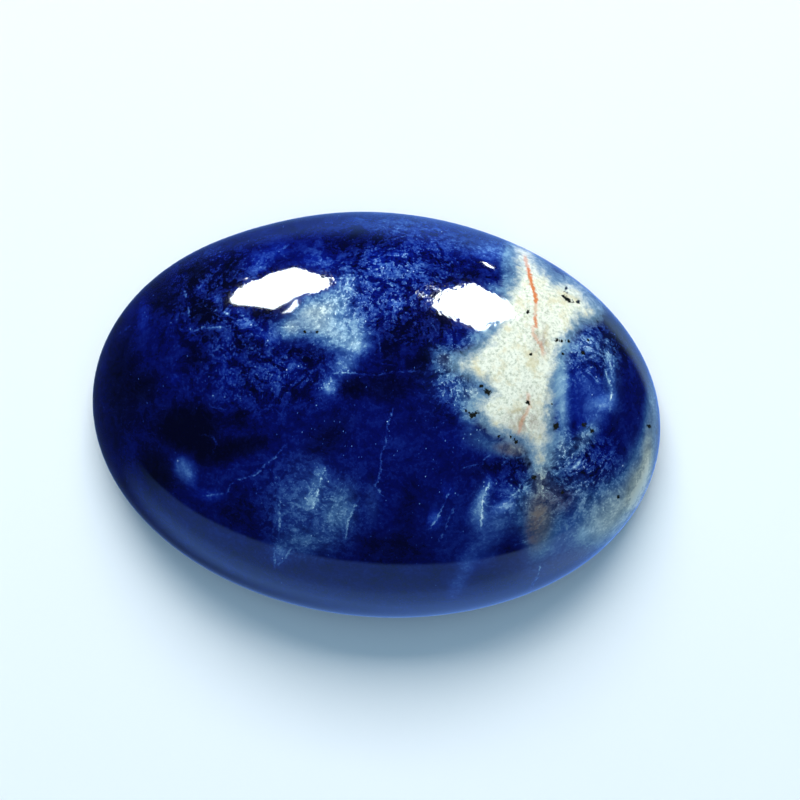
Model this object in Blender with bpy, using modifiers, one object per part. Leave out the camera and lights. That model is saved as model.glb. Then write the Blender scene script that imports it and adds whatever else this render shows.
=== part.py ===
"""A polished oval cabochon of sodalite, ground from one piece of rough.

The stone lies on its flat back. Units are metres and +Z is up: the origin is the
middle of the back, +X runs along the long axis and +Z points out of the dome.
"""

import math

import bpy

# Driving dimensions of the stone
LENGTH = 0.0360
WIDTH = 0.0256
HEIGHT = 0.0108

# The upright girdle between the dome and the rounded edge of the back
GIRDLE_TOP = 0.0017
BACK_EDGE_RADIUS = 0.0008

# A hand-ground outline: a slightly flat stretch and a slightly full one, each as
# (direction in degrees from +X, spread in degrees, share of the radius added)
GRINDING = (
    (118.0, 16.0, -0.011),
    (318.0, 22.0, 0.005),
)
GRINDING_FADE = 3.0

# How finely the surface is divided
TURN_STEPS = 104
DOME_ROWS = 20
EDGE_ROWS = 4
MERGE_DISTANCE = 0.00001

SODALITE_BLUE = (0.012, 0.035, 0.26, 1.0)
POLISH_ROUGHNESS = 0.08

OBJECT_NAME = "sodalite_cabochon"
STONE_NAME = "stone"


def clear_scene():
    """Removes whatever the scene opened with."""
    for old in list(bpy.data.objects):
        bpy.data.objects.remove(old, do_unlink=True)


def make_collection(name):
    """A new collection, linked to the scene."""
    collection = bpy.data.collections.new(name)
    bpy.context.scene.collection.children.link(collection)
    return collection


def stone_profile(radius):
    """Half of the stone's section as (distance from the axis, height) points, from the top down.

    The dome is a quarter of an ellipse that ends upright, the girdle is straight,
    and a quarter circle rounds it into the flat back.
    """
    points = []
    for row in range(DOME_ROWS + 1):
        turn = math.pi / 2 * row / DOME_ROWS
        rise = (HEIGHT - GIRDLE_TOP) * math.cos(turn)
        points.append((radius * math.sin(turn), GIRDLE_TOP + rise))
    for row in range(EDGE_ROWS + 1):
        turn = math.pi / 2 * row / EDGE_ROWS
        inset = BACK_EDGE_RADIUS * (1 - math.cos(turn))
        height = BACK_EDGE_RADIUS * (1 - math.sin(turn))
        points.append((radius - inset, height))
    points.append((0.0, 0.0))
    return points


def turned_mesh(name, profile, steps):
    """The profile turned a full circle about the Z axis, as a closed mesh."""
    outline = bpy.data.meshes.new(name + "_profile")
    corners = [(distance, 0.0, height) for distance, height in profile]
    edges = [(row, row + 1) for row in range(len(corners) - 1)]
    outline.from_pydata(corners, edges, [])
    guide = bpy.data.objects.new(name + "_profile", outline)
    bpy.context.scene.collection.objects.link(guide)

    screw = guide.modifiers.new("turn", "SCREW")
    screw.axis = "Z"
    screw.steps = steps
    screw.render_steps = steps
    screw.use_merge_vertices = True
    screw.merge_threshold = MERGE_DISTANCE

    graph = bpy.context.evaluated_depsgraph_get()
    mesh = bpy.data.meshes.new_from_object(guide.evaluated_get(graph))
    mesh.name = name
    bpy.data.objects.remove(guide, do_unlink=True)
    bpy.data.meshes.remove(outline)
    return mesh


def grinding_share(direction):
    """How much of its radius the hand-ground outline gains in a direction, in degrees."""
    share = 0.0
    for centre, spread, gain in GRINDING:
        away = (direction - centre + 180.0) % 360.0 - 180.0
        share += gain * math.exp(-((away / spread) ** 2))
    return share


def grind_to_oval(mesh, radius):
    """Stretches the turned mesh to the oval outline and adds the marks of hand grinding.

    The marks are full at the girdle and fade towards the middle of the dome.
    """
    for vertex in mesh.vertices:
        x, y, _ = vertex.co
        reach = math.hypot(x, y) / radius
        direction = math.degrees(math.atan2(y, x))
        grown = 1.0 + grinding_share(direction) * reach**GRINDING_FADE
        vertex.co.x = x * grown * LENGTH / WIDTH
        vertex.co.y = y * grown


def polished_material(name):
    """The stone's deep blue with a glassy polish."""
    material = bpy.data.materials.new(name)
    material.use_nodes = True
    shader = material.node_tree.nodes["Principled BSDF"]
    shader.inputs["Base Color"].default_value = SODALITE_BLUE
    shader.inputs["Roughness"].default_value = POLISH_ROUGHNESS
    shader.inputs["Metallic"].default_value = 0.0
    return material


def build_stone(collection):
    """The whole cabochon, which is one solid piece."""
    radius = WIDTH / 2
    mesh = turned_mesh(STONE_NAME, stone_profile(radius), TURN_STEPS)
    grind_to_oval(mesh, radius)
    mesh.materials.append(polished_material("polished_sodalite"))
    mesh.shade_smooth()
    mesh.set_sharp_from_angle(angle=math.radians(40.0))
    stone = bpy.data.objects.new(STONE_NAME, mesh)
    collection.objects.link(stone)
    return stone


clear_scene()
build_stone(make_collection(OBJECT_NAME))
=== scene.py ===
# %% [markdown]
# # A polished sodalite cabochon
#
# A cabochon is a stone ground to a smooth dome with no facets. This one is an oval of
# sodalite, a deep blue mineral that grows together with cream feldspar. The lesson loads
# the solid stone as a fixed frame and dresses it: a finer surface, the camera, its
# markings, its polish, and then the light. Lengths are in metres, as in Blender, and
# markings are placed where they lie in the photograph, in pixels of its 800 by 800 frame.

import bpy
import numpy as np
from mathutils import Matrix, Vector


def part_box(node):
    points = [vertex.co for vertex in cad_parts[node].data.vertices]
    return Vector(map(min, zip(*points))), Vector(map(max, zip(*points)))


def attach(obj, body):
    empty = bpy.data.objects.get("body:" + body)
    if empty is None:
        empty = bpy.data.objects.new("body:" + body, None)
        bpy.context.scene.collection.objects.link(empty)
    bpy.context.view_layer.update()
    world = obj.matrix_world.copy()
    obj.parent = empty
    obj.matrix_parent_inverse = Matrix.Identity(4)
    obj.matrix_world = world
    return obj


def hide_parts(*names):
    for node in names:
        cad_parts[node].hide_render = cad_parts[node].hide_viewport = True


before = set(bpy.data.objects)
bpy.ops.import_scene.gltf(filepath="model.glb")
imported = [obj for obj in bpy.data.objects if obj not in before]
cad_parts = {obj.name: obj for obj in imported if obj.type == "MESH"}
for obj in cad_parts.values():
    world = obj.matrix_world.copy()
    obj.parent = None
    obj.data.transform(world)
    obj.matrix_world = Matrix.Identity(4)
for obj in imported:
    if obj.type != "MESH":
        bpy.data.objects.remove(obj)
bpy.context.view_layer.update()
MM = 0.001
low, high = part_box("stone")
HALF_LENGTH = -low.x
HALF_WIDTH = -low.y
HEIGHT = high.z
print("the stone is", round(2 * HALF_LENGTH / MM, 2), "by", round(2 * HALF_WIDTH / MM, 2),
      "by", round(HEIGHT / MM, 2), "mm")

# %% [markdown]
# ## The form
#
# The cutter leaves four surfaces: the dome, a short upright girdle, a rounded lower edge
# and the flat back. A sphere could be scaled to look like it, but its rings would crowd
# at the poles and miss the girdle. Here one function gives the section, as the distance
# from the axis and the height for each row, and a second one carries it round the oval,
# so each vertex is known by two numbers: its row and its turn. The rows are fine because
# the markings are stored at the vertices later.

# %% The section of the stone, row by row
GIRDLE_TOP = 1.7 * MM
BACK_EDGE_RADIUS = 0.8 * MM
DOME_ROWS = 165
EDGE_ROWS = 9
BACK_ROWS = 20
TURNS = 480


def section():
    """The share of the oval's radius and the height of each row, from near the top to the back.

    On the dome the share is the sine of a quarter turn and the height its cosine. The
    lower edge is a quarter circle, and on the back the share falls evenly to the middle.
    """
    dome = np.linspace(0, np.pi / 2, DOME_ROWS + 1)[1:]
    edge = np.linspace(0, np.pi / 2, EDGE_ROWS)
    back = np.linspace(1, 0, BACK_ROWS + 1)[1:-1]
    foot = 1 - BACK_EDGE_RADIUS / HALF_WIDTH
    share = np.concatenate([np.sin(dome), 1 - (1 - foot) * (1 - np.cos(edge)), back * foot])
    rise = np.concatenate([
        GIRDLE_TOP + (HEIGHT - GIRDLE_TOP) * np.cos(dome),
        BACK_EDGE_RADIUS * (1 - np.sin(edge)),
        np.zeros(len(back)),
    ])
    return share, rise


share, rise = section()
print("the section has", len(share), "rows")

# %% [markdown]
# ## Round the oval
#
# An exact ellipse would look machined. The cutter of this stone took a little more off in
# one direction and a little less in another, so the radius loses or gains a share there,
# as a bell curve of the direction. The share is full at the girdle and fades towards the
# middle of the dome.

# %% The points of the hand-ground oval
# Each: a direction and its spread, in degrees, and the share of the radius gained there
GRINDING = ((118.0, 16.0, -0.011), (318.0, 22.0, 0.005))
GRINDING_FADE = 3.0


def grinding_share(turn):
    """How much of its radius the outline gains: a bell curve around each worked direction."""
    total = np.zeros_like(turn)
    for centre, spread, gain in GRINDING:
        away = (np.degrees(turn) - centre + 180) % 360 - 180
        total += gain * np.exp(-((away / spread) ** 2))
    return total


def stone_points():
    """Every vertex: the section times the oval's radius at each turn, with a pole at each end."""
    turn = np.arange(TURNS) * 2 * np.pi / TURNS
    grown = 1 + np.outer(share**GRINDING_FADE, grinding_share(turn))
    x = share[:, None] * grown * HALF_LENGTH * np.cos(turn)
    y = share[:, None] * grown * HALF_WIDTH * np.sin(turn)
    z = np.repeat(rise[:, None], TURNS, axis=1)
    rings = np.stack([x, y, z], axis=-1).reshape(-1, 3)
    return np.vstack([rings, [(0, 0, HEIGHT), (0, 0, 0)]])


points = stone_points()
print("the surface has", len(points), "points")

# %% [markdown]
# ## One closed skin
#
# Faces join each ring of points to the next. Four corners make a quad, and at the top and
# in the middle of the back, where a ring shrinks to one point, a fan of triangles closes
# the skin, so the stone has no hole. The corners run so that every face looks outward.

# %% The faces, and the stone as a piece


def add_object(name, data):
    """A new object, linked to the scene."""
    thing = bpy.data.objects.new(name, data)
    bpy.context.scene.collection.objects.link(thing)
    return thing


def ring_faces(rows, turns):
    """Quads between each ring and the next, and a fan of triangles at each pole."""
    here = np.arange(turns)
    beside = (here + 1) % turns
    upper = (np.arange(rows - 1) * turns)[:, None]
    lower = upper + turns
    quads = np.stack([upper + here, lower + here, lower + beside, upper + beside], axis=-1)
    top_pole = rows * turns
    last = (rows - 1) * turns
    top = np.stack([np.full(turns, top_pole), here, beside], axis=-1)
    bottom = np.stack([np.full(turns, top_pole + 1), last + beside, last + here], axis=-1)
    return quads.reshape(-1, 4).tolist() + top.tolist() + bottom.tolist()


stone_mesh = bpy.data.meshes.new("polished_stone")
stone_mesh.from_pydata(points.tolist(), [], ring_faces(len(share), TURNS))
stone_mesh.shade_smooth()
stone = add_object("polished_stone", stone_mesh)
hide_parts("stone")
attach(stone, "root")
print("the stone has", len(stone_mesh.polygons), "faces")

# %% [markdown]
# ## The camera
#
# The photograph looks straight at the dome, and the stone's right end hangs a little
# lower than its left. The stone lies on its back here, so the camera looks straight
# down and is turned by that angle. It is made before the markings, because the same
# sums that place a pixel for the camera tell each vertex which pixel it has.

# %% The camera over the dome
PICTURE = 800
SENSOR = 36.0
LENS = 100.0
FOCAL_PIXELS = LENS / SENSOR * PICTURE
NEAREST_SEEN = 5 * MM
PIXELS_PER_MM = 15.77
STONE_MIDDLE = (376.5, 414.4)
STONE_TURN = np.radians(5.41)

camera_height = GIRDLE_TOP + FOCAL_PIXELS / PIXELS_PER_MM * MM
picture_right = np.array([np.cos(STONE_TURN), np.sin(STONE_TURN)])
picture_up = np.array([-np.sin(STONE_TURN), np.cos(STONE_TURN)])
offset = (PICTURE / 2 - STONE_MIDDLE[0], STONE_MIDDLE[1] - PICTURE / 2)
camera_plan = (offset[0] * picture_right + offset[1] * picture_up) / PIXELS_PER_MM * MM

camera_data = bpy.data.cameras.new("camera")
camera_data.lens = LENS
camera_data.sensor_width = SENSOR
camera_data.clip_start = NEAREST_SEEN
camera = add_object("camera", camera_data)
camera.location = (camera_plan[0], camera_plan[1], camera_height)
camera.rotation_euler = (0, 0, STONE_TURN)
bpy.context.scene.camera = camera
print("the camera is", round(camera_height / MM), "mm above the table")

# %% [markdown]
# ## Where the markings lie
#
# In a real stone the markings run through its depth, so what shows on the back is a
# shifted version of what shows on the dome. Each vertex therefore gets the pixel of the
# dome's point above it, moved aside by how deep the vertex lies below it, as if every
# vein leaned the same way.

# %% The pixel of every vertex
# Pixels to the right and down for each millimetre of depth
LEAN = (7.0, -4.0)


def dome_height(x, y):
    """The dome's height over a point of the plan: the girdle's top plus the ellipse's rise."""
    reach = np.clip((x / HALF_LENGTH) ** 2 + (y / HALF_WIDTH) ** 2, 0, 1)
    return GIRDLE_TOP + (HEIGHT - GIRDLE_TOP) * np.sqrt(1 - reach)


def to_pixels(x, y, z):
    """Where points fall in the photograph: their place beside the view axis over their depth."""
    side = (x - camera_plan[0]) * picture_right[0] + (y - camera_plan[1]) * picture_right[1]
    above = (x - camera_plan[0]) * picture_up[0] + (y - camera_plan[1]) * picture_up[1]
    scale = FOCAL_PIXELS / (camera_height - z)
    return PICTURE / 2 + side * scale, PICTURE / 2 - above * scale


above_height = dome_height(points[:, 0], points[:, 1])
depth_mm = np.maximum(above_height - points[:, 2], 0) / MM
pixel_x, pixel_y = to_pixels(points[:, 0], points[:, 1], above_height)
pixel_x = pixel_x + LEAN[0] * depth_mm
pixel_y = pixel_y + LEAN[1] * depth_mm
print("the deepest vertex lies", depth_mm.max().round(1), "mm below the dome")

# %% [markdown]
# ## Light and dark blue
#
# Sodalite is never one blue. Clear parts look almost black, and parts full of tiny
# cleavage planes look royal blue or milky. A noise texture alone would put them anywhere,
# so the large patches are listed one by one: each is a soft ellipse that adds to or takes
# from one number, the lightness, and the material turns that number into a colour.

# %% Soft patches of light and dark
BASE_LIGHTNESS = 0.29
PATCH_EDGE = 1.5

# Each patch: middle x and y, half length and half width, turn in degrees, lightness added
DARK_PATCHES = (
    (205, 296, 36, 28, 0, -0.12), (270, 270, 60, 24, -10, -0.04), (150, 390, 60, 70, 0, -0.04),
    (250, 350, 50, 40, 0, -0.04), (435, 262, 24, 10, 0, -0.08), (275, 306, 26, 7, 0, -0.14),
    (620, 320, 20, 26, -50, -0.12), (505, 345, 10, 14, 0, -0.06), (163, 297, 17, 19, 0, -0.17),
    (197, 272, 17, 8, -55, -0.26), (203, 313, 13, 12, 30, -0.26), (208, 335, 11, 6, 0, -0.16),
    (232, 266, 8, 16, 15, -0.16), (265, 314, 18, 7, 5, -0.16), (196, 357, 12, 12, 0, -0.16),
    (122, 385, 18, 56, 0, -0.2), (146, 388, 12, 18, 10, -0.2), (193, 429, 28, 25, 0, -0.34),
    (206, 456, 11, 14, 0, -0.18), (160, 425, 22, 24, 0, -0.1), (239, 418, 10, 10, 0, -0.18),
    (242, 446, 25, 11, -10, -0.26), (222, 458, 9, 9, 0, -0.14), (158, 470, 24, 14, 60, -0.28),
    (235, 512, 18, 18, 0, -0.1), (248, 345, 16, 8, 0, -0.1), (310, 355, 17, 10, 0, -0.12),
    (325, 440, 33, 16, -45, -0.17), (350, 386, 13, 12, 0, -0.22), (386, 388, 26, 15, 0, -0.19),
    (389, 350, 7, 13, 0, -0.12), (420, 366, 17, 9, -70, -0.16), (404, 350, 38, 30, 0, -0.08),
    (437, 322, 14, 12, 40, -0.16), (408, 332, 22, 12, 0, -0.06), (390, 548, 34, 17, 0, -0.14),
    (408, 508, 12, 26, 10, -0.1), (356, 241, 18, 10, 0, -0.16), (331, 241, 8, 8, 0, -0.1),
    (381, 241, 10, 8, 0, -0.14), (470, 276, 16, 6, 5, -0.14), (492, 466, 30, 8, -10, -0.12),
    (522, 461, 9, 10, 0, -0.12), (503, 547, 14, 9, 0, -0.1), (619, 345, 9, 22, -10, -0.1),
    (425, 420, 26, 12, 0, -0.05),
)
LIGHT_PATCHES = (
    (143, 315, 6, 18, 0, 0.14), (202, 287, 5, 6, 0, 0.18), (215, 299, 6, 4, 0, 0.24),
    (245, 322, 8, 8, 0, 0.24), (232, 311, 12, 5, 0, 0.18), (264, 335, 16, 9, 20, 0.16),
    (258, 264, 11, 12, 30, 0.24), (276, 250, 13, 8, -20, 0.18), (320, 262, 26, 9, 0, 0.2),
    (347, 282, 12, 12, 0, 0.1), (375, 258, 9, 14, 0, 0.2), (391, 263, 11, 12, 0, 0.12),
    (396, 302, 7, 10, 0, 0.2), (372, 292, 28, 28, 0, 0.11), (415, 278, 12, 22, 0, 0.1),
    (402, 254, 12, 4, -10, 0.14), (228, 368, 10, 30, 0, 0.1), (280, 370, 22, 16, 0, 0.11),
    (175, 380, 5, 6, 0, 0.12), (448, 341, 14, 10, 0, 0.1), (448, 388, 14, 17, 20, 0.2),
    (440, 248, 50, 22, 5, 0.15), (490, 252, 18, 9, 0, 0.22), (184, 467, 11, 13, -20, 0.34),
    (192, 480, 7, 9, -20, 0.2), (207, 495, 16, 6, 5, 0.18), (295, 250, 40, 12, -8, 0.06),
    (485, 490, 6, 18, 20, 0.3), (478, 512, 9, 17, 10, 0.26), (434, 519, 7, 9, 20, 0.26),
    (448, 490, 6, 9, 0, 0.16), (505, 505, 12, 7, -20, 0.3), (581, 342, 20, 15, 0, 0.26),
    (590, 346, 8, 8, 0, 0.12), (611, 370, 5, 30, -5, 0.3), (606, 401, 12, 9, 0, 0.34),
    (582, 395, 22, 40, 0, 0.14), (590, 428, 14, 10, -40, 0.18), (583, 469, 10, 12, 0, 0.08),
    (604, 455, 8, 16, 0, 0.12), (470, 562, 12, 14, 30, 0.14), (456, 588, 6, 14, 25, 0.14),
    (560, 540, 40, 30, -30, 0.16), (515, 505, 34, 22, -15, 0.16),
)


def soft_patches(patches):
    """The sum of soft ellipses: each amount times a bell curve of the distance from its middle."""
    total = np.zeros_like(pixel_x)
    for middle_x, middle_y, half_length, half_width, turn, amount in patches:
        angle = np.radians(turn)
        along = (pixel_x - middle_x) * np.cos(angle) + (pixel_y - middle_y) * np.sin(angle)
        across = (pixel_y - middle_y) * np.cos(angle) - (pixel_x - middle_x) * np.sin(angle)
        reach = (along / half_length) ** 2 + (across / half_width) ** 2
        total += amount * np.exp(-(reach**PATCH_EDGE))
    return total


lightness = BASE_LIGHTNESS + soft_patches(DARK_PATCHES) + soft_patches(LIGHT_PATCHES)
print("the blue has", len(DARK_PATCHES), "dark and", len(LIGHT_PATCHES), "light patches")

# %% [markdown]
# ## Clouds, veils, stains and a painted rim reflection
#
# Some parts are milky: two clouds in the middle, a veil towards the right rim and a
# brownish stain under the cream vein. One thin patch along the top rim is a painted
# reflection: the pale band that the polished rim mirrors there. They are lighter, and they
# are also greyer than the blue, so besides lightness each adds to a second number, the
# greyness: 0 is pure blue, 0.5 a pale grey blue and 1 a warm grey.

# %% The greyness map
# Each patch: middle x and y, half length and half width, turn, lightness and greyness added
CLOUDS_AND_RIM_REFLECTION = (
    (340, 325, 24, 24, 40, 0.42, 0.45), (303, 322, 26, 16, -10, 0.4, 0.65),
    (322, 302, 26, 12, -10, 0.34, 0.45), (455, 530, 34, 40, 0, 0.07, 0.05),
    (620, 520, 22, 40, 40, 0.14, 0.1), (300, 462, 22, 14, 0, 0.12, 0.1),
    (340, 530, 24, 20, 0, 0.1, 0.15), (555, 452, 12, 18, 0, 0.28, 0.45),
    (482, 395, 12, 14, 0, 0.24, 0.4), (472, 415, 12, 10, 0, 0.14, 0.3),
    (444, 358, 12, 9, 0, 0.2, 0.25), (288, 332, 10, 12, 0, 0.16, 0.2),
    (330, 340, 24, 12, 10, 0.12, 0.2), (362, 340, 12, 14, 20, 0.28, 0.25),
    (348, 284, 12, 14, 0, 0.2, 0.25), (352, 352, 14, 10, -10, 0.24, 0.2),
    (340, 372, 16, 10, 0, 0.14, 0.1), (447, 366, 15, 12, 0, 0.14, 0.35),
    (440, 352, 16, 9, 0, 0.02, 0.25), (469, 400, 13, 24, 0, 0.34, 0.45),
    (480, 334, 20, 8, -30, 0.32, 0.45), (508, 268, 8, 24, 0, 0.34, 0.55),
    (560, 378, 9, 44, 0, 0.46, 0.5), (494, 327, 14, 8, -30, 0.24, 0.35),
    (496, 290, 12, 6, 20, 0.3, 0.4), (595, 410, 12, 12, 0, 0.12, 0.1),
    (563, 328, 8, 10, 0, 0.2, 0.3), (484, 440, 20, 12, 20, 0.14, 0.4),
    (540, 462, 9, 26, 0, 0.34, 0.6), (522, 446, 14, 10, 0, 0.2, 0.6),
    (651, 420, 8, 60, 4, 0.36, 0.6), (644, 485, 12, 30, 20, 0.16, 0.4),
    (564, 432, 7, 26, 0, 0.26, 0.35), (592, 382, 20, 34, 0, 0.1, 0.1),
    (580, 490, 12, 22, 0, 0.2, 0.3), (305, 548, 34, 14, 0, 0.16, 0.25),
    (372, 503, 8, 22, 0, 0.14, 0.2), (490, 535, 14, 26, 15, 0.22, 0.2),
    (462, 573, 10, 30, 25, 0.16, 0.15), (550, 550, 40, 16, -35, 0.16, 0.15),
    (450, 440, 14, 10, 0, 0.06, 0.0), (345, 365, 14, 8, 0, 0.28, 0.25),
    (330, 386, 9, 9, -30, 0.42, 0.3), (308, 500, 44, 32, -15, 0.2, 0.28),
    (318, 480, 8, 16, 15, 0.2, 0.2), (308, 503, 13, 10, 0, 0.18, 0.15),
    (343, 508, 16, 26, 15, 0.18, 0.3), (300, 535, 28, 12, 0, 0.12, 0.15),
    (278, 552, 8, 12, 10, 0.22, 0.15), (184, 470, 12, 16, -20, 0.0, 0.25),
    (450, 380, 26, 26, 0, 0.0, 0.25), (612, 370, 9, 45, -5, 0.0, 0.3),
    (585, 345, 24, 16, 0, 0.0, 0.25), (480, 505, 9, 26, 15, 0.0, 0.3),
    # The long thin patch at 390, 222, on the top rim, is a painted reflection of a pale band
    (480, 243, 34, 10, 10, 0.06, 0.2), (390, 222, 60, 10, 3, 0.16, 0.15),
    (583, 440, 9, 22, 40, 0.2, 0.6), (613, 512, 46, 30, -50, 0.48, 0.75),
    (640, 465, 14, 34, 10, 0.3, 0.55), (545, 500, 24, 34, 0, 0.16, 0.8),
    (538, 535, 14, 24, 10, 0.08, 0.6), (510, 450, 18, 8, 10, 0.14, 0.75),
    (520, 515, 26, 22, -20, 0.04, 0.3),
)
lightness += soft_patches([entry[:6] for entry in CLOUDS_AND_RIM_REFLECTION])
greyness = soft_patches([entry[:5] + entry[6:] for entry in CLOUDS_AND_RIM_REFLECTION])
print("greyness runs to", greyness.max().round(2))

# %% [markdown]
# ## Flecks, dots and uneven polish
#
# Three textures come and go over the stone. In places the blue is broken up into flecks,
# in others tiny bright dots, painted glints, are scattered, and around the bright
# reflections the polish is uneven. The material makes the textures from noise, and these
# maps only say how strong each of them is. Every vertex keeps the three numbers under one name.

# %% How strong each texture is
# Each patch: middle x and y, half length and half width, turn, amount
MOTTLED_EVERYWHERE = 0.25
MOTTLED = (
    (400, 285, 90, 60, 0, 0.9),
    (225, 300, 60, 50, 0, 0.8),
    (290, 375, 60, 35, 0, 0.5),
    (455, 375, 30, 40, 0, 0.9),
    (590, 350, 40, 30, 0, 0.9),
    (550, 480, 60, 40, 0, 0.8),
    (300, 510, 60, 50, 0, 0.35),
    (240, 375, 60, 40, 0, 0.35),
    (590, 455, 30, 30, 0, 0.6),
)
# Where the painted glints, the tiny bright dots, are scattered
SPARKLING_EVERYWHERE = 0.12
SPARKLING = (
    (420, 430, 90, 60, 0, 0.9),
    (390, 548, 36, 16, 0, 1.0),
    (330, 425, 40, 40, 0, 1.0),
    (270, 375, 50, 30, 0, 0.7),
    (140, 400, 40, 60, 0, 0.35),
    (330, 300, 200, 90, 0, 0.3),
)
UNEVEN_POLISH = (
    (325, 285, 30, 22, 0, 1.0),
    (240, 280, 34, 14, -20, 0.6),
    (470, 305, 60, 34, 15, 1.0),
    (400, 290, 40, 50, 0, 0.5),
)


def store(name, first, second, third):
    """Keeps three values at every vertex under one name, for the material to read."""
    values = np.stack([first, second, third], axis=-1).astype(np.float32)
    attribute = stone_mesh.attributes.new(name, "FLOAT_VECTOR", "POINT")
    attribute.data.foreach_set("vector", values.ravel())
    print(name, "runs from", values.min(axis=0).round(2), "to", values.max(axis=0).round(2))


mottling = MOTTLED_EVERYWHERE + soft_patches(MOTTLED)
sparkle = SPARKLING_EVERYWHERE + soft_patches(SPARKLING)
store("texture_map", mottling, sparkle, soft_patches(UNEVEN_POLISH))

# %% [markdown]
# ## The cream vein
#
# The cream feldspar has a clear edge, so a soft ellipse won't do. Its outline is a
# closed line of points read off the photograph, and every vertex stores how far inside
# that line it lies. The material adds a little noise to the distance before it decides
# where cream begins, which frays the edge more finely than the mesh could.

# %% The distance inside the cream's outline
CREAM_OUTLINE = (
    (516, 242), (533, 250), (538, 264), (546, 273), (556, 282), (571, 281), (581, 288), (588, 298),
    (597, 308), (593, 316), (580, 319), (574, 327), (570, 335), (562, 343), (560, 354), (558, 366),
    (554, 380), (552, 395), (549, 408), (548, 425), (548, 445), (546, 462), (537, 464), (534, 452),
    (528, 441), (519, 437), (508, 434), (499, 430), (490, 424), (482, 417), (476, 410), (475, 403),
    (482, 398), (492, 391), (486, 383), (474, 377), (464, 370), (456, 366), (459, 360), (468, 357),
    (480, 348), (493, 333), (501, 318), (506, 300), (509, 288), (517, 277), (517, 262), (513, 250),
)


def depth_inside(outline):
    """How far inside a closed outline each vertex lies, in mm, and less than 0 outside it.

    The distance is the least one to any of the outline's sides, and the sign comes from
    how many sides a level ray to the right crosses.
    """
    nearest = np.full_like(pixel_x, np.inf)
    inside = np.zeros(len(pixel_x), bool)
    for (x0, y0), (x1, y1) in zip(outline, outline[1:] + outline[:1]):
        run, fall = x1 - x0, y1 - y0
        along = ((pixel_x - x0) * run + (pixel_y - y0) * fall) / (run**2 + fall**2)
        along = np.clip(along, 0, 1)
        away = np.hypot(pixel_x - x0 - along * run, pixel_y - y0 - along * fall)
        nearest = np.minimum(nearest, away)
        if fall != 0:
            crossing = x0 + (pixel_y - y0) * run / fall
            inside ^= ((pixel_y < y0) != (pixel_y < y1)) & (pixel_x < crossing)
    return np.where(inside, nearest, -nearest) / PIXELS_PER_MM


store("colour_map", lightness, greyness, depth_inside(CREAM_OUTLINE))

# %% [markdown]
# ## Hairlines
#
# Fine healed cracks show as pale threads one or two pixels wide, which is thinner than
# the mesh is fine. A painted vertex colour would break them into beads. Instead each
# vertex stores the distance across the nearest line, with a sign for its side. That
# number changes evenly from vertex to vertex, so where it passes zero is exact, and the
# material draws the thread there. Lines that come close to each other are in different
# sets, because a vertex can store only one line of each set.

# %% Hairlines in three sets
# Each line: its strength, then its points
FIRST_LINES = (
    (0.9, ((184, 290), (188, 304), (189, 321))),
    (0.7, ((331, 373), (351, 373), (379, 375), (393, 372), (414, 371))),
    (0.7, ((393, 410), (387, 426), (386, 444), (381, 453), (381, 469), (379, 479), (375, 486),
           (382, 495))),
    (0.7, ((284, 446), (275, 458), (265, 465), (256, 475), (239, 479), (230, 485), (228, 491))),
    (0.7, ((450, 490), (437, 519), (430, 528))),
    (0.9, ((540, 566), (538, 576), (530, 588))),
    (0.6, ((511, 496), (530, 485))),
    (0.8, ((606, 373), (612, 391), (610, 409))),
    (0.5, ((120, 333), (129, 327))),
)
SECOND_LINES = (
    (0.7, ((193, 331), (204, 328), (219, 327))),
    (0.6, ((200, 434), (211, 436), (217, 443), (214, 451))),
    (0.8, ((431, 324), (435, 328), (438, 334))),
    (0.5, ((379, 337), (380, 352))),
    (0.6, ((283, 327), (308, 328))),
    (0.6, ((489, 456), (478, 464), (465, 468))),
    (0.6, ((453, 510), (443, 533), (439, 540))),
    (0.7, ((274, 550), (275, 567))),
    (0.7, ((554, 475), (562, 470), (569, 464))),
    (0.5, ((204, 496), (221, 494))),
    (0.5, ((516, 545), (526, 542))),
    (0.8, ((324, 469), (319, 487), (313, 507))),
    (0.5, ((588, 372), (597, 381))),
)
THIRD_LINES = (
    (0.8, ((200, 306), (211, 309), (213, 316))),
    (0.9, ((217, 310), (227, 314), (233, 318))),
    (0.5, ((213, 407), (224, 409))),
    (0.5, ((383, 364), (392, 365))),
    (0.6, ((290, 550), (283, 561), (275, 567))),
    (0.7, ((503, 465), (507, 458))),
    (0.6, ((280, 501), (279, 534))),
    (0.6, ((355, 506), (348, 521), (346, 537))),
    (0.7, ((490, 482), (483, 497), (481, 526))),
    (0.6, ((281, 249), (287, 246))),
    (0.6, ((545, 455), (541, 470), (543, 500))),
)
# In pixels: how far aside a line is stored, and how far it runs on past its ends
LINE_REACH = 8.0
LINE_END = 2.5


def nearest_line(lines):
    """The signed distance across the nearest line, in mm, and that line's strength.

    Each stretch of a line gives the distance at right angles to it. The strength falls to
    nothing beyond the line's ends and LINE_REACH pixels away on either side.
    """
    least = np.full_like(pixel_x, np.inf)
    across = np.zeros_like(pixel_x)
    strength = np.zeros_like(pixel_x)
    for amount, corners in lines:
        for (x0, y0), (x1, y1) in zip(corners, corners[1:]):
            run, fall = x1 - x0, y1 - y0
            length = np.hypot(run, fall)
            along = ((pixel_x - x0) * run + (pixel_y - y0) * fall) / length
            aside = ((pixel_y - y0) * run - (pixel_x - x0) * fall) / length
            beyond = np.maximum(np.maximum(-along, along - length), 0)
            away = np.hypot(aside, beyond)
            nearer = away < least
            fade = np.exp(-((beyond / LINE_END) ** 2)) * np.clip(2 - 2 * away / LINE_REACH, 0, 1)
            least = np.where(nearer, away, least)
            across = np.where(nearer, aside, across)
            strength = np.where(nearer, amount * fade, strength)
    return across / PIXELS_PER_MM, strength


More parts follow.
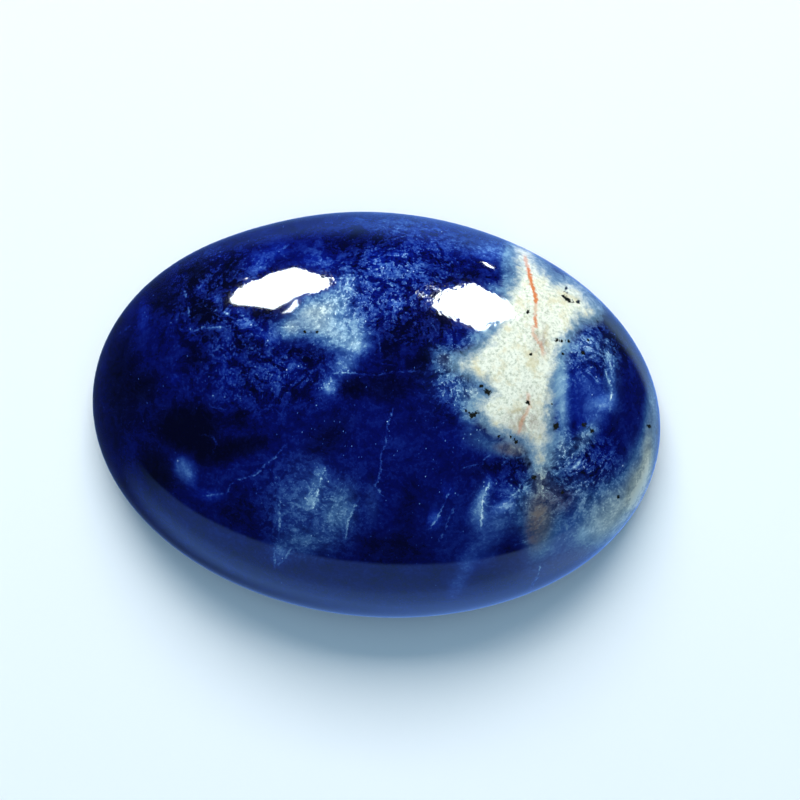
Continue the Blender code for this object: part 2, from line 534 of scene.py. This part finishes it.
line_sets = [nearest_line(lines) for lines in (FIRST_LINES, SECOND_LINES, THIRD_LINES)]
store("line_across", *(across for across, _ in line_sets))
store("line_strength", *(strength for _, strength in line_sets))

# %% [markdown]
# ## Grains of ore
#
# Small dark grains lie in and around the cream. A grain is only three to seven pixels
# across, so here too each vertex stores something that changes evenly: how far it is from
# the nearest grain to the right and downwards, in grain radii. The material takes the
# length of that pair and gets a round spot.

# %% The way to the nearest grain
# Each grain: its middle, and its radius in pixels
GRAINS = (
    (566, 298, 2.2), (569, 301, 2.0), (563, 296, 1.6), (566, 288, 1.6), (578, 302, 1.8),
    (528, 312, 2.2), (557, 340, 2.0), (562, 341, 1.4), (569, 341, 1.6), (588, 340, 1.6),
    (531, 354, 1.6), (583, 353, 2.2), (563, 354, 1.3), (528, 403, 2.4), (481, 386, 1.8),
    (488, 392, 3.0), (472, 415, 3.2), (477, 413, 2.2), (466, 411, 1.4), (556, 426, 3.4),
    (584, 425, 2.4), (592, 431, 2.2), (516, 442, 2.0), (511, 437, 1.4), (649, 426, 2.0),
    (552, 404, 1.2), (305, 332, 1.3), (317, 332, 1.3), (534, 478, 2.6), (562, 492, 1.6),
    (618, 497, 1.6), (499, 436, 1.3),
)
GRAIN_REACH = 7.0


def nearest_grain():
    """The way from the nearest grain, to the right and down in its radii, and how near it is.

    The nearness is 1 up to half of GRAIN_REACH pixels and falls evenly to 0 at all of it.
    """
    least = np.full_like(pixel_x, np.inf)
    right, down = np.zeros_like(pixel_x), np.zeros_like(pixel_x)
    for grain_x, grain_y, radius in GRAINS:
        away = np.hypot(pixel_x - grain_x, pixel_y - grain_y)
        nearer = away < least
        least = np.where(nearer, away, least)
        right = np.where(nearer, (pixel_x - grain_x) / radius, right)
        down = np.where(nearer, (pixel_y - grain_y) / radius, down)
    return right, down, np.clip(2 - 2 * least / GRAIN_REACH, 0, 1)


store("grain_map", *nearest_grain())

# %% [markdown]
# ## Rust
#
# Water that once ran through the stone left rust in one crack of the cream and a brown
# stain round it. The crack is a line like the hairlines, in stretches of different
# strength, and the stain is made of soft patches, so both use what is there already.

# %% The rust line and its stain
RUST_LINES = (
    (0.6, ((525, 258), (528, 268))),
    (1.0, ((528, 268), (531, 281), (535, 295), (536, 303))),
    (0.35, ((536, 303), (535, 316))),
    (0.9, ((535, 316), (536, 326))),
    (0.4, ((533, 328), (533, 334), (541, 345), (543, 353))),
    (0.35, ((528, 395), (529, 408), (522, 421), (519, 432))),
)
STAINS = (
    (537, 522, 9, 26, 10, 0.9),
    (540, 345, 9, 14, 0, 0.6),
    (520, 424, 18, 14, 15, 0.7),
    (527, 404, 7, 20, 0, 0.45),
    (512, 448, 14, 7, 0, 0.5),
    (560, 500, 20, 12, 0, 0.35),
    (540, 330, 12, 26, 0, 0.25),
    (538, 430, 9, 40, 0, 0.25),
)
store("rust_map", *nearest_line(RUST_LINES), soft_patches(STAINS))

# %% [markdown]
# ## Joining nodes
#
# A material is a tree of nodes. Written out in full, each node takes several lines, so
# this small bench adds a node, sets it and joins it in one call, and a formula reads
# from left to right. A Mix node has a set of sockets for each kind of value, so the
# numbers of those for colours are named here.

# %% A bench for shader nodes
MIX_AMOUNT, MIX_FIRST, MIX_SECOND = 0, 6, 7
MIX_RESULT = 2


class Bench:
    """Adds nodes to one node tree and joins them. A value may be a number or another node's output."""

    def __init__(self, tree):
        self.tree = tree

    def add(self, kind, values, **settings):
        """One node with its settings, and a value on each socket that is named or numbered."""
        node = self.tree.nodes.new(kind)
        for name, setting in settings.items():
            setattr(node, name, setting)
        for name, value in values.items():
            if isinstance(value, bpy.types.NodeSocket):
                self.tree.links.new(value, node.inputs[name])
            else:
                node.inputs[name].default_value = value
        return node

    def math(self, operation, first, second=0.0, third=0.0, clamp=False):
        """A Math node: one operation on up to three values."""
        values = {0: first, 1: second, 2: third}
        return self.add("ShaderNodeMath", values, operation=operation, use_clamp=clamp).outputs[0]

    def vector(self, operation, first, second):
        """A Vector Math node on two vectors."""
        return self.add("ShaderNodeVectorMath", {0: first, 1: second}, operation=operation).outputs[0]

    def swing(self, value, amount):
        """A value from 0 to 1 made to swing about zero: what it is above a half, times an amount."""
        return self.math("MULTIPLY", self.math("SUBTRACT", value, 0.5), amount)

    def square(self, value):
        """A value times itself."""
        return self.math("MULTIPLY", value, value)

    def step(self, value, start, end, before=0.0, after=1.0):
        """A smooth step from one result to another as the value goes from start to end."""
        values = {"Value": value, "From Min": start, "From Max": end, "To Min": before, "To Max": after}
        return self.add("ShaderNodeMapRange", values, interpolation_type="SMOOTHSTEP").outputs["Result"]

    def noise(self, where, per_mm, detail, roughness, output="Fac"):
        """Cloudy noise from 0 to 1, with so many waves in each millimetre."""
        values = {"Vector": where, "Scale": per_mm, "Detail": detail, "Roughness": roughness}
        return self.add("ShaderNodeTexNoise", values).outputs[output]

    def mix(self, amount, first, second):
        """A colour between two, by amount."""
        values = {MIX_AMOUNT: amount, MIX_FIRST: first, MIX_SECOND: second}
        return self.add("ShaderNodeMix", values, data_type="RGBA").outputs[MIX_RESULT]

    def ramp(self, value, stops):
        """A colour for each stop of a value, blended between them."""
        node = self.add("ShaderNodeValToRGB", {"Fac": value})
        while len(node.color_ramp.elements) < len(stops):
            node.color_ramp.elements.new(1.0)
        for element, (place, colour) in zip(node.color_ramp.elements, stops):
            element.position = place
            element.color = colour
        return node.outputs["Color"]

    def attribute(self, name):
        """The three numbers stored at the vertices under a name."""
        node = self.add("ShaderNodeAttribute", {}, attribute_name=name)
        return self.add("ShaderNodeSeparateXYZ", {0: node.outputs["Vector"]}).outputs


# %% [markdown]
# ## An uneven blue
#
# The blue is uneven at every size, from patches of a few millimetres down to single
# crystal faces. One noise texture has one size, so three are added up, and a fourth
# swirls the two larger ones. They read the object's own coordinates, so the same formula
# works on the dome, the girdle and the back.

# %% Noise at three sizes
# Each noise: its waves in a millimetre, its detail and its roughness
SWIRL_NOISE = (0.35, 3.0, 0.5)
COARSE_NOISE = (0.55, 4.0, 0.6)
MEDIUM_NOISE = (1.6, 6.0, 0.68)
FINE_NOISE = (5.5, 3.0, 0.6)
SWIRL_MM = 2.5
COARSE_AMOUNT = 0.35
MEDIUM_AMOUNT = 1.6
FINE_AMOUNT = 0.35
FINE_EVERYWHERE = 0.08

stone_material = bpy.data.materials.new("polished_sodalite")
stone_material.use_nodes = True
bench = Bench(stone_material.node_tree)
shader = stone_material.node_tree.nodes["Principled BSDF"]
stone_mesh.materials.append(stone_material)
lightness_map, greyness_map, cream_map = bench.attribute("colour_map")
mottling_map, sparkle_map, polish_map = bench.attribute("texture_map")

place = bench.add("ShaderNodeTexCoord", {}).outputs["Object"]
place_mm = bench.vector("MULTIPLY", place, (1 / MM, 1 / MM, 1 / MM))
swirl = bench.noise(place_mm, *SWIRL_NOISE, output="Color")
swirl = bench.vector("SUBTRACT", swirl, (0.5, 0.5, 0.5))
swirl_mm = bench.vector("MULTIPLY", swirl, (SWIRL_MM, SWIRL_MM, SWIRL_MM))
swirled = bench.vector("ADD", place_mm, swirl_mm)

coarse = bench.noise(swirled, *COARSE_NOISE)
medium = bench.noise(swirled, *MEDIUM_NOISE)
fine = bench.noise(place_mm, *FINE_NOISE)
coarse_part = bench.swing(coarse, COARSE_AMOUNT)
medium_part = bench.swing(medium, bench.math("MULTIPLY", mottling_map, MEDIUM_AMOUNT))
fine_part = bench.swing(fine, bench.math("MULTIPLY_ADD", mottling_map, FINE_AMOUNT, FINE_EVERYWHERE))
added_light = bench.math("ADD", bench.math("ADD", coarse_part, medium_part), fine_part)
print("the uneven blue:", len(bench.tree.nodes), "nodes")

# %% [markdown]
# ## Bright strings, painted glints
#
# Where the blue is flecked, crystal faces catch the light along short crooked strings,
# and these glints are painted into the colour as lighter strings.
# There are too many to draw one by one. A noise texture has contour lines, as a map has
# for its hills, so the strings lie where the noise is close to one value, and the fine
# noise breaks them up.

# %% Strings along a contour of the noise
CONTOUR = 0.52
# Each step: the values where it starts and ends, and its results before and after
STRING_STEP = (0.0, 0.03, 1.0, 0.0)
STRING_BREAKS = (0.42, 0.62, 0.0, 0.30)

off_contour = bench.math("ABSOLUTE", bench.math("SUBTRACT", medium, CONTOUR))
breaks = bench.step(fine, *STRING_BREAKS)
strings = bench.math("MULTIPLY", bench.step(off_contour, *STRING_STEP), breaks)
# The painted glints lighten the colour where the blue is flecked
added_light = bench.math("MULTIPLY_ADD", strings, mottling_map, added_light)
print("with the strings:", len(bench.tree.nodes), "nodes")

# %% [markdown]
# ## Pale threads
#
# A healed crack is a thread of new crystal, thin, crooked and uneven. Its middle is where
# the stored distance is zero. The fine noise moves that place by about a tenth of a
# millimetre, and a slower noise lets the thread fade and come back.

# %% Threads along the hairlines
WIGGLE_MM = 0.4
THREAD_STEP = (0.01, 0.10, 1.0, 0.0)
FADING_NOISE = (3.0, 2.0, 0.6)
FADING_STEP = (0.34, 0.62, 0.06, 0.44)

wiggle = bench.swing(fine, WIGGLE_MM)
threads = 0.0
for across_line, strength in zip(bench.attribute("line_across"), bench.attribute("line_strength")):
    away = bench.math("ABSOLUTE", bench.math("ADD", across_line, wiggle))
    thread = bench.math("MULTIPLY", bench.step(away, *THREAD_STEP), strength)
    threads = bench.math("MAXIMUM", threads, thread)
fading = bench.step(bench.noise(place_mm, *FADING_NOISE), *FADING_STEP)
added_light = bench.math("MULTIPLY_ADD", threads, fading, added_light)
print("with the threads:", len(bench.tree.nodes), "nodes")

# %% [markdown]
# ## Bright dots, painted glints
#
# Single crystals that lie just right flash as tiny dots, and these glints are painted into
# the colour as light dots. A Voronoi texture fills the stone with cells, each with a middle
# and a random colour. One channel of that colour is compared with the sparkle map to decide
# whether the cell has a dot, and another says how bright it is. Most dots are faint, so
# that one is squared.

# %% Dots in some cells of a fine pattern
CELLS_PER_MM = 3.6
CELL_SQUEEZE = (1.5, 1.0, 1.0)
DOT_CHANCE = 0.5
DOT_STEP = (0.08, 0.28, 0.5, 0.0)

squeezed_mm = bench.vector("MULTIPLY", place_mm, CELL_SQUEEZE)
cells = bench.add("ShaderNodeTexVoronoi", {"Vector": squeezed_mm, "Scale": CELLS_PER_MM})
choice, brightness, _ = bench.add("ShaderNodeSeparateXYZ", {0: cells.outputs["Color"]}).outputs
chosen = bench.math("LESS_THAN", choice, bench.math("MULTIPLY", sparkle_map, DOT_CHANCE))
dot = bench.step(cells.outputs["Distance"], *DOT_STEP)
painted_glints = bench.math("MULTIPLY", bench.square(brightness), dot)
# The painted glints lighten the colour
added_light = bench.math("MULTIPLY_ADD", painted_glints, chosen, added_light)
stone_lightness = bench.math("ADD", lightness_map, added_light, clamp=True)
print("with the dots:", len(bench.tree.nodes), "nodes")

# %% [markdown]
# ## From lightness to colour
#
# Light sodalite isn't dark sodalite with white mixed in. It goes from black blue over
# royal blue to sky blue, and a ramp keeps such a row of colours. There are three ramps,
# for pure blue, grey blue and warm grey, and the greyness map chooses between them. What
# has light added is a little greyer too.

# %% Three ramps of colour


def paint(red, green, blue):
    """A colour as a screen shows it, from 0 to 255, as the linear light that a shader needs."""
    screen = np.array([red, green, blue]) / 255
    light = np.where(screen <= 0.04045, screen / 12.92, ((screen + 0.055) / 1.055) ** 2.4)
    return (*light.tolist(), 1.0)


PURE_BLUE = (
    (0.0, paint(0, 0, 24)), (0.15, paint(1, 2, 46)), (0.3, paint(2, 7, 80)),
    (0.45, paint(5, 22, 112)), (0.6, paint(20, 48, 142)), (0.75, paint(46, 90, 175)),
    (0.9, paint(105, 147, 200)), (1.0, paint(185, 215, 232)),
)
GREY_BLUE = (
    (0.0, paint(6, 12, 30)), (0.3, paint(14, 28, 72)), (0.5, paint(36, 66, 116)),
    (0.65, paint(66, 103, 148)), (0.8, paint(118, 154, 182)), (0.95, paint(172, 203, 220)),
    (1.0, paint(212, 230, 232)),
)
WARM_GREY = (
    (0.0, paint(18, 18, 28)), (0.4, paint(42, 50, 76)), (0.6, paint(74, 86, 106)),
    (0.8, paint(122, 138, 144)), (0.95, paint(172, 184, 176)), (1.0, paint(215, 220, 205)),
)
LIGHT_IS_GREYER = 1.6

blue = bench.ramp(stone_lightness, PURE_BLUE)
grey_blue = bench.ramp(stone_lightness, GREY_BLUE)
warm_grey = bench.ramp(stone_lightness, WARM_GREY)
# The first half of greyness goes from blue to grey blue, the second on to warm grey
greyer = bench.math("MULTIPLY", bench.math("MAXIMUM", added_light, 0.0), LIGHT_IS_GREYER)
towards_grey = bench.math("MULTIPLY_ADD", greyness_map, 2.0, greyer, clamp=True)
towards_warm = bench.math("MULTIPLY_ADD", greyness_map, 2.0, -1.0, clamp=True)
body = bench.mix(towards_warm, bench.mix(towards_grey, blue, grey_blue), warm_grey)
print("the three ramps have", len(PURE_BLUE + GREY_BLUE + WARM_GREY), "colours")

# %% [markdown]
# ## The cream's colours and its edge
#
# The other markings are laid over the body one after another, each as a mix of what is
# there with its own colour. The cream comes first. Noise added to the stored distance
# frays its edge, and a grey-blue fringe starts further out, where the feldspar is thin
# and lets the blue through. Two more noises make its crystals white, shaded or yellowish.

# %% The cream over the blue
CREAM = paint(232, 234, 216)
CREAM_SHADE = paint(164, 172, 148)
CREAM_WARM = paint(206, 194, 150)
FRINGE = paint(112, 146, 166)
FRAY_MM = 1.7
FINE_FRAY_MM = 0.5
# Millimetres inside the outline where each begins and is full
FRINGE_STEP = (-0.9, 0.15, 0.0, 0.8)
CREAM_STEP = (-0.2, 0.75)
CRYSTAL_NOISE = (4.5, 5.0, 0.75)
CRYSTAL_STEP = (0.28, 0.58)
WARM_NOISE = (0.8, 5.0, 0.7)
WARM_STEP = (0.48, 0.68, 0.0, 0.7)

frayed = bench.math("ADD", cream_map, bench.swing(medium, FRAY_MM))
frayed = bench.math("ADD", frayed, bench.swing(fine, FINE_FRAY_MM))
bright_share = bench.step(bench.noise(place_mm, *CRYSTAL_NOISE), *CRYSTAL_STEP)
warm_share = bench.step(bench.noise(place_mm, *WARM_NOISE), *WARM_STEP)
cream_colour = bench.mix(bright_share, CREAM_SHADE, CREAM)
cream_colour = bench.mix(warm_share, cream_colour, CREAM_WARM)
with_fringe = bench.mix(bench.step(frayed, *FRINGE_STEP), body, FRINGE)
with_cream = bench.mix(bench.step(frayed, *CREAM_STEP), with_fringe, cream_colour)
print("with the cream:", len(bench.tree.nodes), "nodes")

# %% [markdown]
# ## The colours of rust and ore
#
# The stain goes on before the orange line that runs through it, and the dark grains of
# ore go on last. A grain's edge is made ragged by the fine noise, because a clean round
# dot would look printed.

# %% Rust and grains over the cream
RUST = paint(205, 120, 70)
RUST_STAIN = paint(120, 95, 80)
GRAIN = paint(22, 24, 18)
RUST_STEP = (0.04, 0.18, 1.0, 0.0)
STAIN_STEP = (0.35, 0.65)
STAIN_AMOUNT = 0.8
GRAIN_RAGGEDNESS = 3.0
GRAIN_STEP = (0.7, 1.25, 1.0, 0.0)

rust_across, rust_strength, stain_map = bench.attribute("rust_map")
stain_share = bench.math("MULTIPLY", stain_map, bench.step(medium, *STAIN_STEP))
with_stain = bench.mix(bench.math("MULTIPLY", stain_share, STAIN_AMOUNT), with_cream, RUST_STAIN)
rust_away = bench.math("ABSOLUTE", bench.math("ADD", rust_across, wiggle))
rust_share = bench.math("MULTIPLY", bench.step(rust_away, *RUST_STEP), rust_strength)
with_rust = bench.mix(rust_share, with_stain, RUST)

grain_right, grain_down, grain_near = bench.attribute("grain_map")
grain_away = bench.math("ADD", bench.square(grain_right), bench.square(grain_down))
grain_away = bench.math("SQRT", grain_away)
ragged = bench.math("ADD", grain_away, bench.swing(fine, GRAIN_RAGGEDNESS))
grain_share = bench.math("MULTIPLY", bench.step(ragged, *GRAIN_STEP), grain_near)
finished_colour = bench.mix(grain_share, with_rust, GRAIN)
bench.tree.links.new(finished_colour, shader.inputs["Base Color"])
print("the whole colour:", len(bench.tree.nodes), "nodes")

# %% [markdown]
# ## The polish
#
# A polished cabochon is glassy, but hand polishing leaves faint waves and a few pits.
# They are a few thousandths of a millimetre deep, far too fine for the mesh, and they
# show only in the ragged edges of the reflections, so they are bump.

# %% Waves and pits in the polish
REFRACTIVE_INDEX = 1.483
POLISH_ROUGHNESS = 0.05
WAVE_NOISE = (0.9, 2.0, 0.5)
PIT_NOISE = (3.0, 1.0, 0.5)
# Depths in millimetres
WAVE_DEPTH = 0.0030
PIT_DEPTH = 0.0065
PIT_DEPTH_EVERYWHERE = 0.05 * PIT_DEPTH

waves = bench.math("MULTIPLY", bench.noise(place_mm, *WAVE_NOISE), WAVE_DEPTH)
pit_depth = bench.math("MULTIPLY_ADD", polish_map, PIT_DEPTH, PIT_DEPTH_EVERYWHERE)
relief = bench.math("MULTIPLY_ADD", bench.noise(place_mm, *PIT_NOISE), pit_depth, waves)
bump = bench.add("ShaderNodeBump", {"Height": relief, "Distance": MM, "Strength": 1.0})
bench.tree.links.new(bump.outputs["Normal"], shader.inputs["Normal"])
shader.inputs["IOR"].default_value = REFRACTIVE_INDEX
shader.inputs["Roughness"].default_value = POLISH_ROUGHNESS
print("the pits are about", PIT_DEPTH, "mm deep")

# %% [markdown]
# ## The table
#
# The stone lies on a plain pale table, which takes its soft shadow. The table is a disc
# so wide that in a view from the side it reaches almost to the horizon.

# %% A pale table
TABLE_RADIUS = 1.5
TABLE_CORNERS = 96
TABLE_COLOUR = (0.83, 0.87, 0.88, 1.0)
TABLE_ROUGHNESS = 0.7

turn = np.linspace(0, 2 * np.pi, TABLE_CORNERS, endpoint=False)
rim = TABLE_RADIUS * np.stack([np.cos(turn), np.sin(turn), np.zeros(TABLE_CORNERS)], axis=-1)
table_mesh = bpy.data.meshes.new("table")
table_mesh.from_pydata(rim.tolist(), [], [list(range(TABLE_CORNERS))])
table = add_object("table", table_mesh)
table_material = bpy.data.materials.new("pale_table")
table_material.use_nodes = True
table_shader = table_material.node_tree.nodes["Principled BSDF"]
table_shader.inputs["Base Color"].default_value = TABLE_COLOUR
table_shader.inputs["Roughness"].default_value = TABLE_ROUGHNESS
table_mesh.materials.append(table_material)
print("the table is", 2 * TABLE_RADIUS, "m wide")

# %% [markdown]
# ## Where the bright windows are
#
# Two bright windows show as two ragged reflections on the dome. To put something where
# the dome mirrors it at a chosen pixel, follow the camera's ray through that pixel to the
# dome, bounce it off there, and go on for a set distance.

# %% From a pixel to what the dome mirrors there
CARD_DISTANCE = 0.35
HEIGHT_GUESSES = 5


def from_pixel(right, down):
    """The dome's point at a pixel: its height is guessed, and each guess gives a better one."""
    z = HEIGHT
    for _ in range(HEIGHT_GUESSES):
        scale = (camera_height - z) / FOCAL_PIXELS
        aside = (right - PICTURE / 2) * scale
        above = (PICTURE / 2 - down) * scale
        x, y = camera_plan + aside * picture_right + above * picture_up
        z = float(dome_height(x, y))
    return Vector((x, y, z))


def bounce(right, down):
    """Where the camera's ray through a pixel ends, CARD_DISTANCE after the dome mirrors it.

    The dome is half an ellipsoid, so the direction away from it is each coordinate over
    the square of its half axis.
    """
    point = from_pixel(right, down)
    outward = Vector((point.x / HALF_LENGTH**2, point.y / HALF_WIDTH**2,
                      (point.z - GIRDLE_TOP) / (HEIGHT - GIRDLE_TOP) ** 2)).normalized()
    ray = (point - camera.location).normalized()
    return point + ray.reflect(outward) * CARD_DISTANCE


print("the dome's middle is at pixel", [round(float(pixel), 1) for pixel in to_pixels(0, 0, HEIGHT)])

# %% [markdown]
# ## Glowing cards for the windows
#
# A lamp has a plain shape, and these reflections haven't. A flat card that glows can have
# any outline, so each reflection is one card, and its corners are what the dome mirrors
# at the corners of the outline in the photograph. The cards are there for reflections
# only: they don't light the table and cast no shadow.

# %% The window cards
CARD_GLARE = 50.0
WINDOW_LIGHT = (0.82, 0.94, 1.0, 1.0)
# The two reflections, and the scraps beside them
WINDOW_OUTLINES = (
    ((231, 298), (236, 291), (250, 280), (262, 277), (272, 272), (280, 269), (293, 266), (298, 268),
     (308, 272), (316, 273), (323, 276), (330, 279), (328, 285), (320, 290), (310, 292), (298, 295),
     (292, 297), (288, 301), (274, 308), (262, 306), (250, 305), (238, 304), (232, 301)),
    ((298, 299), (295, 306), (291, 311), (283, 312.5), (288, 309), (292, 304), (295, 299)),
    ((432, 304), (438, 294), (444, 290), (454, 289), (462, 287), (468, 284), (476, 284), (482, 288),
     (490, 292), (500, 296), (508, 302), (514, 308), (516, 316), (510, 320), (498, 322), (487, 326),
     (484, 331), (478, 332), (470, 326), (458, 321), (452, 317), (442, 313), (434, 308)),
    ((431, 286), (435, 285), (436, 287), (433, 290)),
    ((420, 293), (422, 292), (423, 296), (421, 297)),
    ((482, 262), (487, 263), (494, 268), (491, 268), (486, 265)),
    ((245, 277), (249, 275), (250, 276), (247, 278)),
)


def glowing_cards(name, outlines):
    """One mesh of flat glowing cards, each cut so that the dome mirrors it as its outline."""
    corners, faces = [], []
    for outline in outlines:
        faces.append(list(range(len(corners), len(corners) + len(outline))))
        corners.extend(tuple(bounce(*pixel)) for pixel in outline)
    mesh = bpy.data.meshes.new(name)
    mesh.from_pydata(corners, [], faces)
    glow = bpy.data.materials.new(name)
    glow.use_nodes = True
    glow.node_tree.nodes.clear()
    cards_bench = Bench(glow.node_tree)
    light = cards_bench.add("ShaderNodeEmission", {"Color": WINDOW_LIGHT, "Strength": CARD_GLARE})
    cards_bench.add("ShaderNodeOutputMaterial", {"Surface": light.outputs[0]})
    mesh.materials.append(glow)
    cards = add_object(name, mesh)
    cards.visible_camera = False
    cards.visible_diffuse = False
    cards.visible_shadow = False
    return cards


window_cards = glowing_cards("window_cards", WINDOW_OUTLINES)
print("the windows are", len(window_cards.data.polygons), "cards")

# %% [markdown]
# ## Soft light
#
# The stone and the table get their light from two lamps: a soft one behind the stone, so
# that the shadow falls towards the picture's lower edge, and a very wide bluish one
# overhead, which fills the shadow. The polish mirrors the cards instead of them.

# %% Two soft lamps
KEY_WATTS = 5.6
KEY_SIZE = (0.5, 0.3)
KEY_PLACE = Vector((-0.07, 0.48, 0.46))
KEY_COLOUR = (1.0, 1.0, 1.0)
FILL_WATTS = 4.8
FILL_SIZE = (1.2, 1.2)
FILL_PLACE = Vector((0, 0, 0.9))
FILL_COLOUR = (0.55, 0.82, 1.0)


def add_lamp(name, watts, size, place, colour):
    """A rectangular lamp that faces the origin, with its width level.

    Neither the camera nor a polished surface sees it.
    """
    data = bpy.data.lights.new(name, "AREA")
    data.shape = "RECTANGLE"
    data.size, data.size_y = size
    data.energy = watts
    data.color = colour
    lamp = add_object(name, data)
    back = place.normalized()
    right = (Vector((1, 0, 0)) - back.x * back).normalized()
    turned = Matrix((right, back.cross(right), back)).transposed().to_4x4()
    lamp.matrix_world = Matrix.Translation(place) @ turned
    lamp.visible_camera = False
    lamp.visible_glossy = False
    print(name, "gives", watts, "W")


add_lamp("soft_key", KEY_WATTS, KEY_SIZE, KEY_PLACE, KEY_COLOUR)
add_lamp("soft_fill", FILL_WATTS, FILL_SIZE, FILL_PLACE, FILL_COLOUR)

# %% [markdown]
# ## What the rim mirrors
#
# Near its rim the dome mirrors what lies low around it, so the surroundings decide how the
# rim looks. They are painted into the world as two glows: one in front of the stone with a
# clear upper edge, and one below the horizon behind it and at its ends. A pale table close
# by would whiten the rim, which the photograph shows blue, so the polish doesn't mirror it.

# %% The glow around the rim
GLOW_BLUE = (0.30, 0.66, 1.70, 1.0)
GLOW_PALE = (0.80, 1.35, 1.80, 1.0)
DARK_ROOM = (0.03, 0.05, 0.09, 1.0)
# How much each glow's edge sinks towards its ends, and where the back one's middle is
FRONT_SAG = 0.35
BACK_SAG = 0.75
BACK_MIDDLE = 0.12
# Steps along a direction's height, from -1 straight down to 1 straight up
FRONT_EDGE = (0.25, 0.30, 1.0, 0.0)
FRONT_FADE = (-0.35, -0.1, 1.1, 0.75)
BACK_EDGE = (-0.45, -0.05, 0.8, 0.0)
STRAIGHT_DOWN = (-0.8, -0.4)
# Steps along its way to the right or, for the share of the front, to the back
BACK_LEFT_END = (-0.6, -0.1, 0.1, 1.0)
UNDER_STEP = (-0.35, 0.25, 0.2, 0.8)
PALE_STEP = (0.35, 0.8)
FRONT_SHARE = (-0.85, -0.40, 1.0, 0.0)

world = bpy.data.worlds.new("studio")
world.use_nodes = True
bpy.context.scene.world = world
sky = Bench(world.node_tree)
direction = sky.add("ShaderNodeTexCoord", {}).outputs["Generated"]
across, away, upward = sky.add("ShaderNodeSeparateXYZ", {0: direction}).outputs

front_height = sky.math("MULTIPLY_ADD", sky.square(across), FRONT_SAG, upward)
front_glow = sky.math("MULTIPLY", sky.step(front_height, *FRONT_EDGE), sky.step(upward, *FRONT_FADE))
off_middle = sky.math("SUBTRACT", across, BACK_MIDDLE)
back_height = sky.math("MULTIPLY_ADD", sky.square(off_middle), BACK_SAG, upward)
back_glow = sky.math("MULTIPLY", sky.step(back_height, *BACK_EDGE), sky.step(across, *BACK_LEFT_END))
front_more = sky.math("SUBTRACT", front_glow, back_glow)
glow = sky.math("MULTIPLY_ADD", front_more, sky.step(away, *FRONT_SHARE), back_glow)
under_glow = sky.step(across, *UNDER_STEP)
glow = sky.math("MULTIPLY", glow, sky.step(upward, *STRAIGHT_DOWN, under_glow, 1.0))

glow_colour = sky.mix(sky.step(across, *PALE_STEP), GLOW_BLUE, GLOW_PALE)
surroundings = sky.mix(glow, DARK_ROOM, glow_colour)
sky.tree.links.new(surroundings, world.node_tree.nodes["Background"].inputs["Color"])
table.visible_glossy = False
bpy.context.scene.view_settings.view_transform = "Standard"
print("the surroundings:", len(sky.tree.nodes), "nodes")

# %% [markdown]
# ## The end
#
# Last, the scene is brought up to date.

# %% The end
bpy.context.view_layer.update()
